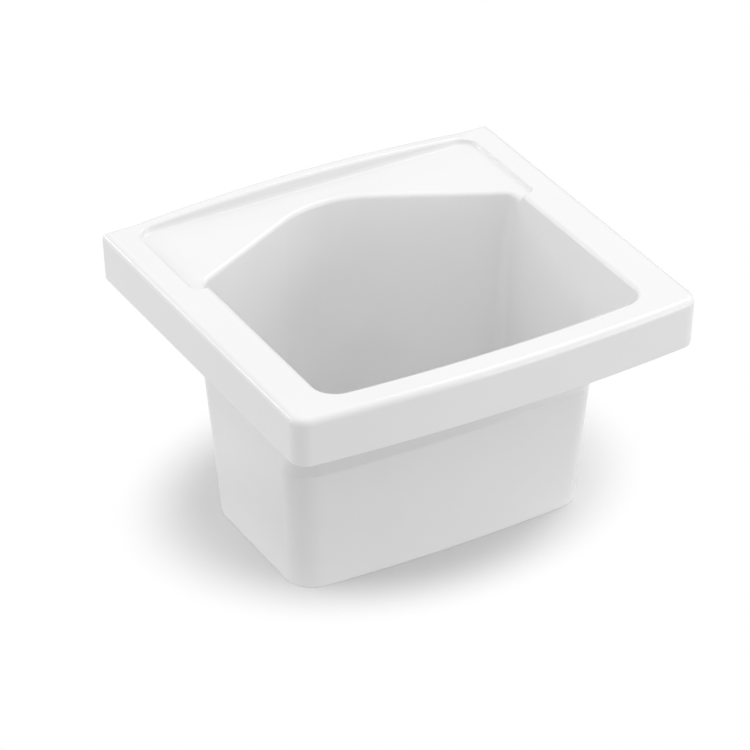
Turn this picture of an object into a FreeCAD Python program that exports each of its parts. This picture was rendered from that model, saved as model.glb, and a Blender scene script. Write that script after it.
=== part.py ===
"""Laundry sink: a ceramic basin with a hollow rim, a sunk ledge and a skirt, and its basket strainer waste.

Millimetres and degrees. The origin is the middle of the overall box on the surface that the sink stands on.
+Z is up, +X is to the right, and the front faces -Y. Distances called "from the back" run forwards from the
back face of the rim.
"""
import FreeCAD, Part
import math
import os

import Sketcher

doc = FreeCAD.newDocument("laundry_sink")
sheet = doc.addObject("Spreadsheet::Sheet", "sizes")

SIZES = {
    # Opening of the basin, on its inner faces at the level of the rim
    "opening_width": 478.0,
    "opening_front": 513.6,
    "opening_apex": 47.1,
    "opening_edge_radius": 5.5,
    "diagonal_angle": 27.3,
    "apex_radius": 148.0,
    "side_corner_radius": 22.0,
    "front_corner_radius": 32.0,
    "basin_bow_radius": 2600.0,
    # Rim and its apron
    "rim_height": 372.7,
    "rim_side": 61.4,
    "rim_front": 39.6,
    "rim_plate": 16.0,
    "rim_bow_radius": 2850.0,
    "rim_corner_radius": 25.0,
    "rim_edge_radius": 10.0,
    "back_corner_radius": 5.0,
    "apron_height": 72.0,
    "apron_draft": 2.4,
    "apron_wall": 11.0,
    "apron_edge_radius": 2.0,
    # Raised back edge
    "upstand_width": 17.0,
    "upstand_rise": 12.0,
    "upstand_blend_radius": 100.0,
    # Sunk ledge behind the basin
    "ledge_margin": 21.0,
    "ledge_run": 10.0,
    "ledge_depth": 6.0,
    "ledge_back_radius": 24.0,
    "ledge_front_radius": 15.0,
    # Inside of the basin
    "basin_side_angle": 4.0,
    "basin_back_angle": 2.3,
    "slope_angle": 31.0,
    "slope_height": 180.0,
    "slope_edge_radius": 30.0,
    "front_angle": 3.55,
    "floor_height": 50.5,
    "floor_thickness": 15.5,
    "floor_radius": 16.0,
    # Outside of the body below the rim
    "side_wall": 9.0,
    "back_wall": 25.0,
    "front_wall": 12.0,
    "skirt_wall": 13.0,
    "body_side_angle": 4.0,
    "body_back_angle": 4.6,
    "foot_edge_radius": 1.0,
    # Dish in the floor and the drain hole in its middle
    "drain_from_back": 232.0,
    "dish_radius": 122.0,
    "dish_fall": 2.5,
    "drain_radius": 45.0,
    "seat_radius": 58.5,
    "seat_depth": 3.5,
    # Strainer pan and its seals
    "flange_radius": 57.0,
    "flange_seal_height": 2.0,
    "seal_margin": 1.5,
    "pan_sheet": 1.2,
    "pan_radius": 41.5,
    "pan_taper": 2.0,
    "pan_depth": 21.0,
    "pan_bend": 2.8,
    "pan_holes": 8.0,
    "pan_hole_radius": 4.0,
    "pan_hole_ring": 15.5,
    "underside_seal_height": 3.5,
    # Waste body
    "waste_flange": 4.0,
    "cup_radius": 43.5,
    "cup_wall": 3.0,
    "cup_room": 2.5,
    "funnel_drop": 10.5,
    "outlet_radius": 23.9,
    "outlet_bore": 19.0,
    "outlet_length": 11.5,
    "hub_radius": 10.0,
    "hub_gap": 1.0,
    "hub_floor": 1.5,
    "hub_ribs": 3.0,
    "rib_width": 3.0,
    # Clamp screw and its insert
    "insert_radius": 7.0,
    "insert_length": 12.0,
    "screw_radius": 5.0,
    "screw_clearance": 0.05,
    "screw_hole_clearance": 0.3,
    "screw_head_radius": 7.0,
    "screw_head": 2.5,
    "screw_end_room": 0.5,
    "socket_depth": 12.5,
    # Basket, its seal, stem, ring and knob
    "seat_gap": 0.2,
    "basket_sheet": 1.0,
    "basket_foot_radius": 31.0,
    "basket_radius": 37.0,
    "basket_rim": 2.2,
    "basket_top": 1.0,
    "basket_bend": 3.0,
    "basket_holes": 16.0,
    "basket_hole_radius": 1.8,
    "basket_hole_ring": 25.5,
    "basket_slots": 24.0,
    "basket_slot_width": 2.6,
    "basket_slot_margin": 2.0,
    "basket_seal_height": 3.2,
    "basket_seal_radius": 23.0,
    "basket_seal_bore": 8.5,
    "stem_radius": 2.6,
    "stem_clearance": 0.3,
    "stem_end_room": 0.8,
    "stem_collar_radius": 5.0,
    "stem_collar": 2.0,
    "stem_bond": 0.05,
    "ring_section": 1.1,
    "ring_groove": 0.9,
    "ring_from_tip": 3.5,
    "knob_level": 2.0,
    "knob_neck_radius": 4.5,
    "knob_neck": 3.5,
    "knob_radius": 9.0,
    "knob_flare": 2.5,
    "knob_band": 4.0,
    "knob_bevel": 1.5,
    "knob_top": 1.5,
}

TINY = 1e-4


def fill_sheet():
    for row, (name, size) in enumerate(SIZES.items(), start=1):
        sheet.set(f"A{row}", name)
        sheet.set(f"B{row}", str(size))
        sheet.setAlias(f"B{row}", name)
    doc.recompute()


def value(expression):
    """Number that an expression of the sheet's sizes gives."""
    result = sheet.evalExpression(expression)
    return float(getattr(result, "Value", result))


def tangent(angle):
    return f"tan(sizes.{angle} * 1 deg)"


def cosine(angle):
    return f"cos(sizes.{angle} * 1 deg)"


RIM = "sizes.rim_height"
HALF_OPENING = "(sizes.opening_width / 2)"
HALF_RIM = f"({HALF_OPENING} + sizes.rim_side)"
RIM_DEPTH = "(sizes.opening_front + sizes.rim_front)"
HALF_LEDGE = f"({HALF_OPENING} + sizes.ledge_margin)"
CREST = f"({RIM} + sizes.upstand_rise)"
APRON_FOOT = f"({RIM} - sizes.apron_height)"
UNDERSIDE = "(sizes.floor_height - sizes.floor_thickness)"
DIAGONAL_COS = cosine("diagonal_angle")
# The rounded top edge of the leaning apron stays this far behind the corner that it replaces
EDGE_LOSS = f"sizes.rim_edge_radius * ({tangent('apron_draft')} + 1 / {cosine('apron_draft')} - 1)"
BACK_FACE = f"(({RIM_DEPTH} - {EDGE_LOSS}) / 2)"


def new_body(label, from_back="0", level="0"):
    """Empty body. Its local origin lies from_back in front of the back face, at the given level."""
    body = doc.addObject("PartDesign::Body", label)
    body.Label = label
    body.setExpression("Placement.Base.y", f"{BACK_FACE} - {from_back}")
    body.setExpression("Placement.Base.z", level)
    return body


def origin_feature(body, role):
    return next(item for item in body.Origin.OriginFeatures if item.Role == role)


def new_sketch(body, name, role, level="0"):
    sketch = body.newObject("Sketcher::SketchObject", name)
    sketch.AttachmentSupport = [(origin_feature(body, role), "")]
    sketch.MapMode = "FlatFace"
    sketch.setExpression("AttachmentOffset.Base.z", level)
    return sketch


def bind(sketch, name, constraint, expression):
    """Adds a constraint whose value follows an expression."""
    index = sketch.addConstraint(Sketcher.Constraint(*constraint, value(expression)))
    sketch.renameConstraint(index, name)
    sketch.setExpression(f"Constraints.{name}", expression)


def place_point(sketch, name, edge, end, x, y):
    """Holds a point of a sketch at x, y, each an expression of either sign or None."""
    for axis, kind, expression, line in (("x", "DistanceX", x, -2), ("y", "DistanceY", y, -1)):
        if expression is None:
            continue
        amount = value(expression)
        if abs(amount) < TINY:
            sketch.addConstraint(Sketcher.Constraint("PointOnObject", edge, end, line))
        elif amount > 0:
            bind(sketch, f"{name}_{axis}", (kind, -1, 1, edge, end), expression)
        else:
            bind(sketch, f"{name}_{axis}", (kind, edge, end, -1, 1), f"-({expression})")


def add_line(sketch, start, end):
    first = FreeCAD.Vector(start[0], start[1], 0)
    last = FreeCAD.Vector(end[0], end[1], 0)
    return sketch.addGeometry(Part.LineSegment(first, last))


def add_arc(sketch, centre, radius, first_angle, last_angle):
    circle = Part.Circle(FreeCAD.Vector(centre[0], centre[1], 0), FreeCAD.Vector(0, 0, 1), radius)
    return sketch.addGeometry(Part.ArcOfCircle(circle, first_angle, last_angle))


def join_ends(sketch, kind, first, first_end, second, second_end):
    sketch.addConstraint(Sketcher.Constraint(kind, first, first_end, second, second_end))


def join_smoothly(sketch, edges):
    """Joins each edge's end to the next one's start, tangent to it."""
    for first, second in zip(edges, edges[1:]):
        join_ends(sketch, "Tangent", first, 2, second, 1)


def corner_outline(body, name, role, level, corners):
    """Closed outline of straight edges through corners, each a pair of expressions."""
    sketch = new_sketch(body, name, role, level)
    points = [(value(x), value(y)) for x, y in corners]
    edges = [add_line(sketch, a, b) for a, b in zip(points, points[1:] + points[:1])]
    for number, edge in enumerate(edges):
        join_ends(sketch, "Coincident", edges[number - 1], 2, edge, 1)
        place_point(sketch, f"corner{number}", edge, 1, *corners[number])
    return sketch


def circle_outline(body, name, role, level, circles):
    """Circles, each given by its centre's x and y and its radius."""
    sketch = new_sketch(body, name, role, level)
    for number, (x, y, radius) in enumerate(circles):
        centre = FreeCAD.Vector(value(x), value(y), 0)
        circle = Part.Circle(centre, FreeCAD.Vector(0, 0, 1), value(radius))
        edge = sketch.addGeometry(circle)
        bind(sketch, f"radius{number}", ("Radius", edge), radius)
        place_point(sketch, f"centre{number}", edge, 3, x, y)
    return sketch


def bowed_front(sketch, half, front, bow, corner):
    """Two round front corners and the bowed front between them, with the level where the sides start."""
    w, depth, big, small = value(half), value(front), value(bow), value(corner)
    bow_y = big - depth
    corner_x = w - small
    corner_y = bow_y - math.sqrt((big - small) ** 2 - corner_x**2)
    lean = math.atan2(corner_y - bow_y, corner_x)
    left = add_arc(sketch, (-corner_x, corner_y), small, math.pi, math.pi - lean)
    middle = add_arc(sketch, (0, bow_y), big, -math.pi - lean, lean)
    right = add_arc(sketch, (corner_x, corner_y), small, lean, 0)
    return left, middle, right, corner_y


def bind_front(sketch, arcs, front, bow, corner):
    left, middle, right = arcs
    bind(sketch, "left_corner", ("Radius", left), corner)
    bind(sketch, "right_corner", ("Radius", right), corner)
    bind(sketch, "bow", ("Radius", middle), bow)
    place_point(sketch, "bow_centre", middle, 3, "0", f"{bow} - ({front})")


def bind_sides(sketch, left, right, half):
    sketch.addConstraint(Sketcher.Constraint("Vertical", left))
    sketch.addConstraint(Sketcher.Constraint("Vertical", right))
    place_point(sketch, "left_side", left, 1, f"-({half})", None)
    place_point(sketch, "right_side", right, 1, half, None)


def tray_outline(body, name, level, half, back, front, bow, corner):
    """Plan of the rim: square back corners, straight sides, round front corners and a bowed front."""
    sketch = new_sketch(body, name, "XY_Plane", level)
    w, rear = value(half), -value(back)
    front_left, middle, front_right, corner_y = bowed_front(sketch, half, front, bow, corner)
    left = add_line(sketch, (-w, rear), (-w, corner_y))
    right = add_line(sketch, (w, corner_y), (w, rear))
    rear_line = add_line(sketch, (w, rear), (-w, rear))
    join_smoothly(sketch, [left, front_left, middle, front_right, right])
    join_ends(sketch, "Coincident", right, 2, rear_line, 1)
    join_ends(sketch, "Coincident", rear_line, 2, left, 1)
    sketch.addConstraint(Sketcher.Constraint("Horizontal", rear_line))
    bind_sides(sketch, left, right, half)
    place_point(sketch, "rear", rear_line, 1, None, f"-({back})")
    bind_front(sketch, (front_left, middle, front_right), front, bow, corner)
    return sketch


def side_round_from_back(half, apex, side_round):
    """How far from the back the rounding between a side and its diagonal has its centre."""
    straight = f"({half} - ({side_round})) * {tangent('diagonal_angle')}"
    return f"({apex} + {straight} + ({side_round}) / {DIAGONAL_COS})"


def plate_outline(body, name, level, half, front, corner, apex, apex_round, side_round):
    """Plan of the basin: straight sides, a bowed front, and two diagonals that meet at a round apex."""
    sketch = new_sketch(body, name, "XY_Plane", level)
    turn = math.radians(value("sizes.diagonal_angle"))
    normal = math.pi / 2 - turn
    w, apex_r, side_r = value(half), value(apex_round), value(side_round)
    side_from_back = side_round_from_back(half, apex, side_round)
    apex_from_back = f"({apex} + ({apex_round}) / {DIAGONAL_COS})"
    side_x, side_y, apex_y = w - side_r, -value(side_from_back), -value(apex_from_back)
    side_end = (side_x + side_r * math.sin(turn), side_y + side_r * math.cos(turn))
    apex_end = (apex_r * math.sin(turn), apex_y + apex_r * math.cos(turn))

    bow = "sizes.basin_bow_radius"
    front_left, middle, front_right, corner_y = bowed_front(sketch, half, front, bow, corner)
    left = add_line(sketch, (-w, side_y), (-w, corner_y))
    right = add_line(sketch, (w, corner_y), (w, side_y))
    right_round = add_arc(sketch, (side_x, side_y), side_r, 0, normal)
    right_diagonal = add_line(sketch, side_end, apex_end)
    apex_arc = add_arc(sketch, (0, apex_y), apex_r, normal, math.pi - normal)
    left_diagonal = add_line(sketch, (-apex_end[0], apex_end[1]), (-side_end[0], side_end[1]))
    left_round = add_arc(sketch, (-side_x, side_y), side_r, math.pi - normal, math.pi)
    loop = [left, front_left, middle, front_right, right, right_round, right_diagonal, apex_arc]
    join_smoothly(sketch, loop + [left_diagonal, left_round, left])

    bind_sides(sketch, left, right, half)
    bind_front(sketch, (front_left, middle, front_right), front, bow, corner)
    bind(sketch, "left_round", ("Radius", left_round), side_round)
    bind(sketch, "right_round", ("Radius", right_round), side_round)
    bind(sketch, "apex_round", ("Radius", apex_arc), apex_round)
    place_point(sketch, "left_round_centre", left_round, 3, None, f"-{side_from_back}")
    place_point(sketch, "right_round_centre", right_round, 3, None, f"-{side_from_back}")
    place_point(sketch, "apex_centre", apex_arc, 3, "0", f"-{apex_from_back}")
    return sketch


def ledge_outline(body, name, level, half, back, front, back_round, front_round):
    """Rectangle with one radius on its two back corners and another on its two front corners."""
    sketch = new_sketch(body, name, "XY_Plane", level)
    w, rear, fore = value(half), -value(back), -value(front)
    rear_r, fore_r = value(back_round), value(front_round)
    quarter = math.pi / 2
    left = add_line(sketch, (-w, rear - rear_r), (-w, fore + fore_r))
    front_left = add_arc(sketch, (-w + fore_r, fore + fore_r), fore_r, 2 * quarter, 3 * quarter)
    front_line = add_line(sketch, (-w + fore_r, fore), (w - fore_r, fore))
    front_right = add_arc(sketch, (w - fore_r, fore + fore_r), fore_r, 3 * quarter, 4 * quarter)
    right = add_line(sketch, (w, fore + fore_r), (w, rear - rear_r))
    back_right = add_arc(sketch, (w - rear_r, rear - rear_r), rear_r, 0, quarter)
    back_line = add_line(sketch, (w - rear_r, rear), (-w + rear_r, rear))
    back_left = add_arc(sketch, (-w + rear_r, rear - rear_r), rear_r, quarter, 2 * quarter)
    front_half = [left, front_left, front_line, front_right, right]
    join_smoothly(sketch, front_half + [back_right, back_line, back_left, left])
    bind_sides(sketch, left, right, half)
    sketch.addConstraint(Sketcher.Constraint("Horizontal", front_line))
    sketch.addConstraint(Sketcher.Constraint("Horizontal", back_line))
    place_point(sketch, "front_line", front_line, 1, None, f"-({front})")
    place_point(sketch, "back_line", back_line, 1, None, f"-({back})")
    rounds = {"front_left": front_left, "front_right": front_right}
    for corner, edge in rounds.items():
        bind(sketch, corner, ("Radius", edge), front_round)
    rounds = {"back_left": back_left, "back_right": back_right}
    for corner, edge in rounds.items():
        bind(sketch, corner, ("Radius", edge), back_round)
    return sketch


def arch_outline(body, name):
    """Space above the raised edge: level at both ends, one long arc between, and a blend where they meet.

    A blend touches the level end where the ledge ends. The long arc's crest is one rise above the level, and
    touching the blend gives its radius: (half ledge squared + rise squared) / (2 rise) - blend.
    """
    sketch = new_sketch(body, name, "XZ_Plane")
    full_radius = f"({HALF_LEDGE}^2 + sizes.upstand_rise^2) / (2 * sizes.upstand_rise)"
    long_radius = f"({full_radius} - sizes.upstand_blend_radius)"
    centre_level = f"({CREST} - {long_radius})"
    blend_level = f"({RIM} + sizes.upstand_blend_radius)"
    end = f"({HALF_RIM} + sizes.apron_wall)"
    lid = f"({RIM} + 3 * sizes.upstand_rise)"
    level, half, touch, top = value(RIM), value(end), value(HALF_LEDGE), value(lid)
    blend, crest_z, blend_z = value("sizes.upstand_blend_radius"), value(centre_level), value(blend_level)
    lean = math.atan2(blend_z - crest_z, touch)

    right_flat = add_line(sketch, (half, level), (touch, level))
    right_blend = add_arc(sketch, (touch, blend_z), blend, math.pi + lean, 1.5 * math.pi)
    crest = add_arc(sketch, (0, crest_z), value(long_radius), lean, math.pi - lean)
    left_blend = add_arc(sketch, (-touch, blend_z), blend, 1.5 * math.pi, 2 * math.pi - lean)
    left_flat = add_line(sketch, (-touch, level), (-half, level))
    left_end = add_line(sketch, (-half, level), (-half, top))
    lid_line = add_line(sketch, (-half, top), (half, top))
    right_end = add_line(sketch, (half, top), (half, level))
    join_ends(sketch, "Tangent", right_flat, 2, right_blend, 2)
    join_ends(sketch, "Tangent", right_blend, 1, crest, 1)
    join_ends(sketch, "Tangent", crest, 2, left_blend, 2)
    join_ends(sketch, "Tangent", left_blend, 1, left_flat, 1)
    frame = [left_flat, left_end, lid_line, right_end, right_flat]
    for first, second in zip(frame, frame[1:]):
        join_ends(sketch, "Coincident", first, 2, second, 1)

    bind(sketch, "right_blend", ("Radius", right_blend), "sizes.upstand_blend_radius")
    bind(sketch, "left_blend", ("Radius", left_blend), "sizes.upstand_blend_radius")
    place_point(sketch, "crest_centre", crest, 3, "0", centre_level)
    place_point(sketch, "right_blend_centre", right_blend, 3, HALF_LEDGE, None)
    place_point(sketch, "left_blend_centre", left_blend, 3, f"-{HALF_LEDGE}", None)
    place_point(sketch, "right_corner", right_flat, 1, end, RIM)
    place_point(sketch, "left_corner", left_flat, 2, f"-{end}", RIM)
    place_point(sketch, "right_lid", lid_line, 2, end, lid)
    place_point(sketch, "left_lid", lid_line, 1, f"-{end}", lid)
    return sketch


def add_feature(body, kind, name, settings):
    """New feature of a body. Settings given as text are expressions, apart from a Type."""
    feature = body.newObject(f"PartDesign::{kind}", name)
    for setting, content in settings.items():
        if isinstance(content, str) and setting != "Type":
            feature.setExpression(setting, content)
        else:
            setattr(feature, setting, content)
    doc.recompute()
    return feature


def change_volume(body, kind, name, sign, settings):
    """Adds a feature and makes sure that the body grew, for a sign of 1, or shrank, for -1."""
    before = body.Shape.Volume if body.Tip else 0.0
    feature = add_feature(body, kind, name, settings)
    if not (body.Shape.Volume - before) * sign > 0:
        raise RuntimeError(f"{body.Label}: {name} changed nothing")
    return feature


def pad(body, name, sketch, length, **more):
    return change_volume(body, "Pad", name, 1, {"Profile": sketch, "Length": length, **more})


def pocket(body, name, sketch, length=None, **more):
    """Cuts a sketch's prism, to a length or through everything on one side."""
    reach = {"Length": length} if length else {"Type": "ThroughAll"}
    return change_volume(body, "Pocket", name, -1, {"Profile": sketch, **reach, **more})


def loft(body, kind, name, sections):
    sign = 1 if kind == "AdditiveLoft" else -1
    settings = {"Profile": sections[0], "Sections": sections[1:], "Ruled": True}
    return change_volume(body, kind, name, sign, settings)


def revolve(body, name, corners):
    """Turns a profile of (radius, height) corners about the body's own vertical axis."""
    profile = corner_outline(body, f"{name}_profile", "XZ_Plane", "0", corners)
    settings = {"Profile": profile, "ReferenceAxis": (profile, ["V_Axis"]), "Angle": 360.0}
    return change_volume(body, "Revolution", name, 1, settings)


def ring_of(body, name, feature, count):
    """Repeats a feature round the body's own vertical axis."""
    axis = (origin_feature(body, "Z_Axis"), [""])
    pattern = add_feature(body, "PolarPattern", name, {"Originals": [feature], "Axis": axis, "Angle": 360.0})
    pattern.setExpression("Occurrences", count)
    body.Tip = pattern
    doc.recompute()
    return pattern


def round_edges(body, name, radius, chosen):
    """Rounds the edges of the body so far that pass a test."""
    base = body.Tip
    names = [f"Edge{number}" for number, edge in enumerate(base.Shape.Edges, start=1) if chosen(edge)]
    if not names:
        raise RuntimeError(f"{body.Label}: {name} found no edges")
    return add_feature(body, "Fillet", name, {"Base": (base, names), "Radius": radius})


def near(first, second):
    return abs(first - second) < TINY


def level_edge(edge, level):
    """Whether an edge lies all at one level, given as an expression."""
    box = edge.BoundBox
    return near(box.ZMin, value(level)) and near(box.ZMax, value(level))


def ring_edges(*rings):
    """Test for the circles given by radius and level, for a turned piece."""
    wanted = [(value(radius), value(level)) for radius, level in rings]

    def chosen(edge):
        box = edge.BoundBox
        return any(near(box.XMax, r) and near(box.ZMin, z) and near(box.ZMax, z) for r, z in wanted)

    return chosen


fill_sheet()

# Ceramic basin: the rim with its apron and raised back edge
sink = new_body("sink_basin")
rim_shape = ("sizes.rim_bow_radius", "sizes.rim_corner_radius")
rim_plan = tray_outline(sink, "rim_plan", APRON_FOOT, HALF_RIM, "0", RIM_DEPTH, *rim_shape)
pad(sink, "rim_block", rim_plan, "sizes.apron_height + sizes.upstand_rise")

past_side = f"({HALF_RIM} + sizes.apron_wall)"
past_front = f"({RIM_DEPTH} + sizes.apron_wall)"
# The raised edge runs on round the ledge's back corners, as far as these are round
raised_front = "-(sizes.upstand_width + sizes.ledge_back_radius)"
rim_top = corner_outline(sink, "rim_top", "XY_Plane", RIM, [
    (past_side, raised_front),
    (f"-{past_side}", raised_front),
    (f"-{past_side}", f"-{past_front}"),
    (past_side, f"-{past_front}"),
])
pocket(sink, "rim_levelling", rim_top, "2 * sizes.upstand_rise", Reversed=True)
pocket(sink, "upstand_arch", arch_outline(sink, "upstand_outline"), Midplane=True)


def apron_faces(shape):
    """Sides, front corners and front of the apron, which lean in towards its foot."""
    for number, face in enumerate(shape.Faces, start=1):
        box = face.BoundBox
        if near(box.ZMin, value(APRON_FOOT)) and box.ZLength > TINY and box.YLength > TINY:
            yield f"Face{number}"


def rim_face(shape):
    """The level top in front of the raised back edge."""
    for number, face in enumerate(shape.Faces, start=1):
        box = face.BoundBox
        if near(box.ZMin, value(RIM)) and near(box.ZMax, value(RIM)) and box.YLength > value(RIM_DEPTH) / 2:
            return f"Face{number}"
    raise RuntimeError("no level rim face")


upright = sink.Tip
add_feature(sink, "Draft", "apron_lean", {
    "Base": (upright, list(apron_faces(upright.Shape))),
    "NeutralPlane": (upright, [rim_face(upright.Shape)]),
    "Reversed": True,
    "Angle": "sizes.apron_draft",
})


def back_upright(edge):
    """Upright edge at either end of the back face."""
    box = edge.BoundBox
    at_back = near(box.YMin, 0) and near(box.YMax, 0)
    return at_back and near(box.ZMin, value(APRON_FOOT)) and box.ZLength > TINY


def outer_top(edge):
    """Outline of the top as seen from above: not the front edge of the raised strip."""
    box = edge.BoundBox
    if box.ZMin < value(RIM) - TINY:
        return False
    at_back = box.YMin > -value("sizes.back_corner_radius") - TINY
    along_side = box.XLength < value("sizes.rim_corner_radius") + TINY
    at_side = near(max(-box.XMin, box.XMax), value(HALF_RIM)) and along_side
    at_front = box.YMin < -value(RIM_DEPTH) + value("2 * sizes.rim_corner_radius") and box.YLength > TINY
    return at_back or at_side or at_front


def apron_foot_outside(edge):
    """Edges round the outside of the apron's foot, apart from the back."""
    return level_edge(edge, APRON_FOOT) and edge.BoundBox.YMin < -value("2 * sizes.back_corner_radius")


round_edges(sink, "back_corners", "sizes.back_corner_radius", back_upright)
round_edges(sink, "rim_edge", "sizes.rim_edge_radius", outer_top)
round_edges(sink, "apron_edge", "sizes.apron_edge_radius", apron_foot_outside)

apron_lean_in = f"sizes.apron_height * {tangent('apron_draft')} + sizes.apron_wall"
rim_hollow = tray_outline(
    sink,
    "hollow_plan",
    APRON_FOOT,
    f"({HALF_RIM} - ({apron_lean_in}))",
    "sizes.apron_wall",
    f"({RIM_DEPTH} - ({apron_lean_in}))",
    "sizes.rim_bow_radius",
    "sizes.rim_corner_radius - sizes.apron_wall / 2",
)
pocket(sink, "rim_hollow", rim_hollow, "sizes.apron_height - sizes.rim_plate", Reversed=True)

# Ceramic basin: the body below the rim, its inside and the sunk ledge
SLOPE = tangent("slope_angle")
STEEP = tangent("front_angle")
SLOPE_WALL = f"sizes.front_wall / {cosine('slope_angle')}"
STEEP_WALL = f"sizes.front_wall / {cosine('front_angle')}"
INNER_KINK = f"({RIM} - sizes.slope_height)"
OUTER_KINK = f"({INNER_KINK} - ({SLOPE_WALL} - {STEEP_WALL}) / ({SLOPE} - {STEEP}))"
BODY_TOP = f"({RIM} - sizes.rim_plate / 2)"


def below_rim(level):
    return f"({RIM} - {level})"


def sloping_front(level):
    """Front of the basin's inside on its upper slope, from the back."""
    return f"(sizes.opening_front - {below_rim(level)} * {SLOPE})"


def steep_front(level):
    """Front of the basin's inside below the slope, from the back."""
    return f"({sloping_front(INNER_KINK)} - ({below_rim(level)} - sizes.slope_height) * {STEEP})"


def basin_section(name, level, front):
    depth = below_rim(level)
    return plate_outline(
        sink,
        name,
        level,
        f"({HALF_OPENING} - {depth} * {tangent('basin_side_angle')})",
        front,
        "sizes.front_corner_radius",
        f"(sizes.opening_apex + {depth} * {tangent('basin_back_angle')} / {DIAGONAL_COS})",
        "sizes.apex_radius",
        "sizes.side_corner_radius",
    )


def body_section(name, level, front, inset="0"):
    """Outside of the body at a level, or a line inset from it."""
    depth = below_rim(level)
    side = f"(sizes.side_wall - {inset})"
    back = f"(sizes.back_wall - {inset})"
    return plate_outline(
        sink,
        name,
        level,
        f"({HALF_OPENING} + {side} - {depth} * {tangent('body_side_angle')})",
        f"({front} - {inset})",
        f"sizes.front_corner_radius + {side}",
        f"(sizes.opening_apex + ({depth} * {tangent('body_back_angle')} - {back}) / {DIAGONAL_COS})",
        f"sizes.apex_radius + {back}",
        f"sizes.side_corner_radius + {side}",
    )


loft(sink, "AdditiveLoft", "body_walls", [
    body_section("body_top", BODY_TOP, f"({sloping_front(BODY_TOP)} + {SLOPE_WALL})"),
    body_section("body_kink", OUTER_KINK, f"({steep_front(OUTER_KINK)} + {STEEP_WALL})"),
    body_section("body_foot", "0", f"({steep_front('0')} + {STEEP_WALL})"),
])
round_edges(sink, "foot_edge", "sizes.foot_edge_radius", lambda edge: level_edge(edge, "0"))
loft(sink, "SubtractiveLoft", "basin", [
    basin_section("basin_top", RIM, "sizes.opening_front"),
    basin_section("basin_kink", INNER_KINK, sloping_front(INNER_KINK)),
    basin_section("basin_floor", "sizes.floor_height", steep_front("sizes.floor_height")),
])


def slope_edge(edge):
    """Middle of the edge where the sloping front wall turns steep."""
    front = value(sloping_front(INNER_KINK))
    return level_edge(edge, INNER_KINK) and near(edge.BoundBox.YMin, -front)


round_edges(sink, "slope_edge", "sizes.slope_edge_radius", slope_edge)
round_edges(sink, "floor_edge", "sizes.floor_radius", lambda edge: level_edge(edge, "sizes.floor_height"))

LEDGE = f"({RIM} - sizes.ledge_depth)"
SIDE_ROUND = side_round_from_back(HALF_OPENING, "sizes.opening_apex", "sizes.side_corner_radius")
LEDGE_FRONT = f"({SIDE_ROUND} + sizes.ledge_run)"
ledge_plan = ledge_outline(
    sink,
    "ledge_plan",
    CREST,
    HALF_LEDGE,
    "sizes.upstand_width",
    LEDGE_FRONT,
    "sizes.ledge_back_radius",
    "sizes.ledge_front_radius",
)
pocket(sink, "ledge", ledge_plan, "sizes.upstand_rise + sizes.ledge_depth")


def opening_edge(edge):
    """Outline of the opening, on the rim and on the ledge."""
    box = edge.BoundBox
    across = max(-box.XMin, box.XMax) < value(HALF_OPENING) + TINY
    along = box.YMin > -value("sizes.opening_front") - TINY
    if near(box.YLength, 0) or not across or not along:
        return False
    if level_edge(edge, RIM):
        return box.YMax < -value(LEDGE_FRONT) + TINY
    return level_edge(edge, LEDGE)


round_edges(sink, "opening_edge", "min(sizes.opening_edge_radius; sizes.ledge_depth)", opening_edge)

# Ceramic basin: the hollow inside the skirt, the dish in the floor and the drain hole
loft(sink, "SubtractiveLoft", "skirt_hollow", [
    body_section("skirt_foot", "0", f"({steep_front('0')} + {STEEP_WALL})", "sizes.skirt_wall"),
    body_section("skirt_roof", UNDERSIDE, f"({steep_front(UNDERSIDE)} + {STEEP_WALL})", "sizes.skirt_wall"),
])
DRAIN = ("0", "-sizes.drain_from_back")
FLOOR = "sizes.floor_height"
DISH_FOOT = f"({FLOOR} - sizes.dish_fall)"
dish_profile = corner_outline(sink, "dish_profile", "XZ_Plane", "sizes.drain_from_back", [
    ("0", FLOOR),
    ("sizes.dish_radius", FLOOR),
    ("sizes.seat_radius", DISH_FOOT),
    ("0", DISH_FOOT),
])
dish_axis = (dish_profile, ["V_Axis"])
dish_settings = {"Profile": dish_profile, "ReferenceAxis": dish_axis, "Angle": 360.0}
change_volume(sink, "Groove", "dish", -1, dish_settings)
seat_circle = circle_outline(sink, "seat_circle", "XY_Plane", FLOOR, [(*DRAIN, "sizes.seat_radius")])
pocket(sink, "drain_seat", seat_circle, "sizes.dish_fall + sizes.seat_depth")
drain_circle = circle_outline(sink, "drain_circle", "XY_Plane", FLOOR, [(*DRAIN, "sizes.drain_radius")])
pocket(sink, "drain_hole", drain_circle, "2 * sizes.floor_thickness")

# Waste: heights are measured from the ceramic seat
SEAT = f"({DISH_FOOT} - sizes.seat_depth)"
CERAMIC_FOOT = f"({UNDERSIDE} - {SEAT})"
FLANGE_FOOT = "sizes.flange_seal_height"
PAN_FOOT = f"({FLANGE_FOOT} - sizes.pan_depth)"
PAN_FLOOR = f"({PAN_FOOT} + sizes.pan_sheet)"
HUB_TOP = f"({PAN_FOOT} - sizes.hub_gap)"
SCREW_TOP = f"({PAN_FLOOR} + sizes.screw_head)"
SEAL_FOOT = f"({PAN_FLOOR} + sizes.seat_gap)"
BASKET_FOOT = f"({SEAL_FOOT} + sizes.basket_seal_height)"
STEM_TIP = f"({SCREW_TOP} - sizes.socket_depth + sizes.stem_end_room)"
KNOB_CAP = "(sizes.knob_level + sizes.knob_neck + sizes.knob_flare + sizes.knob_band)"


def waste_piece(label):
    return new_body(label, "sizes.drain_from_back", SEAT)


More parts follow.
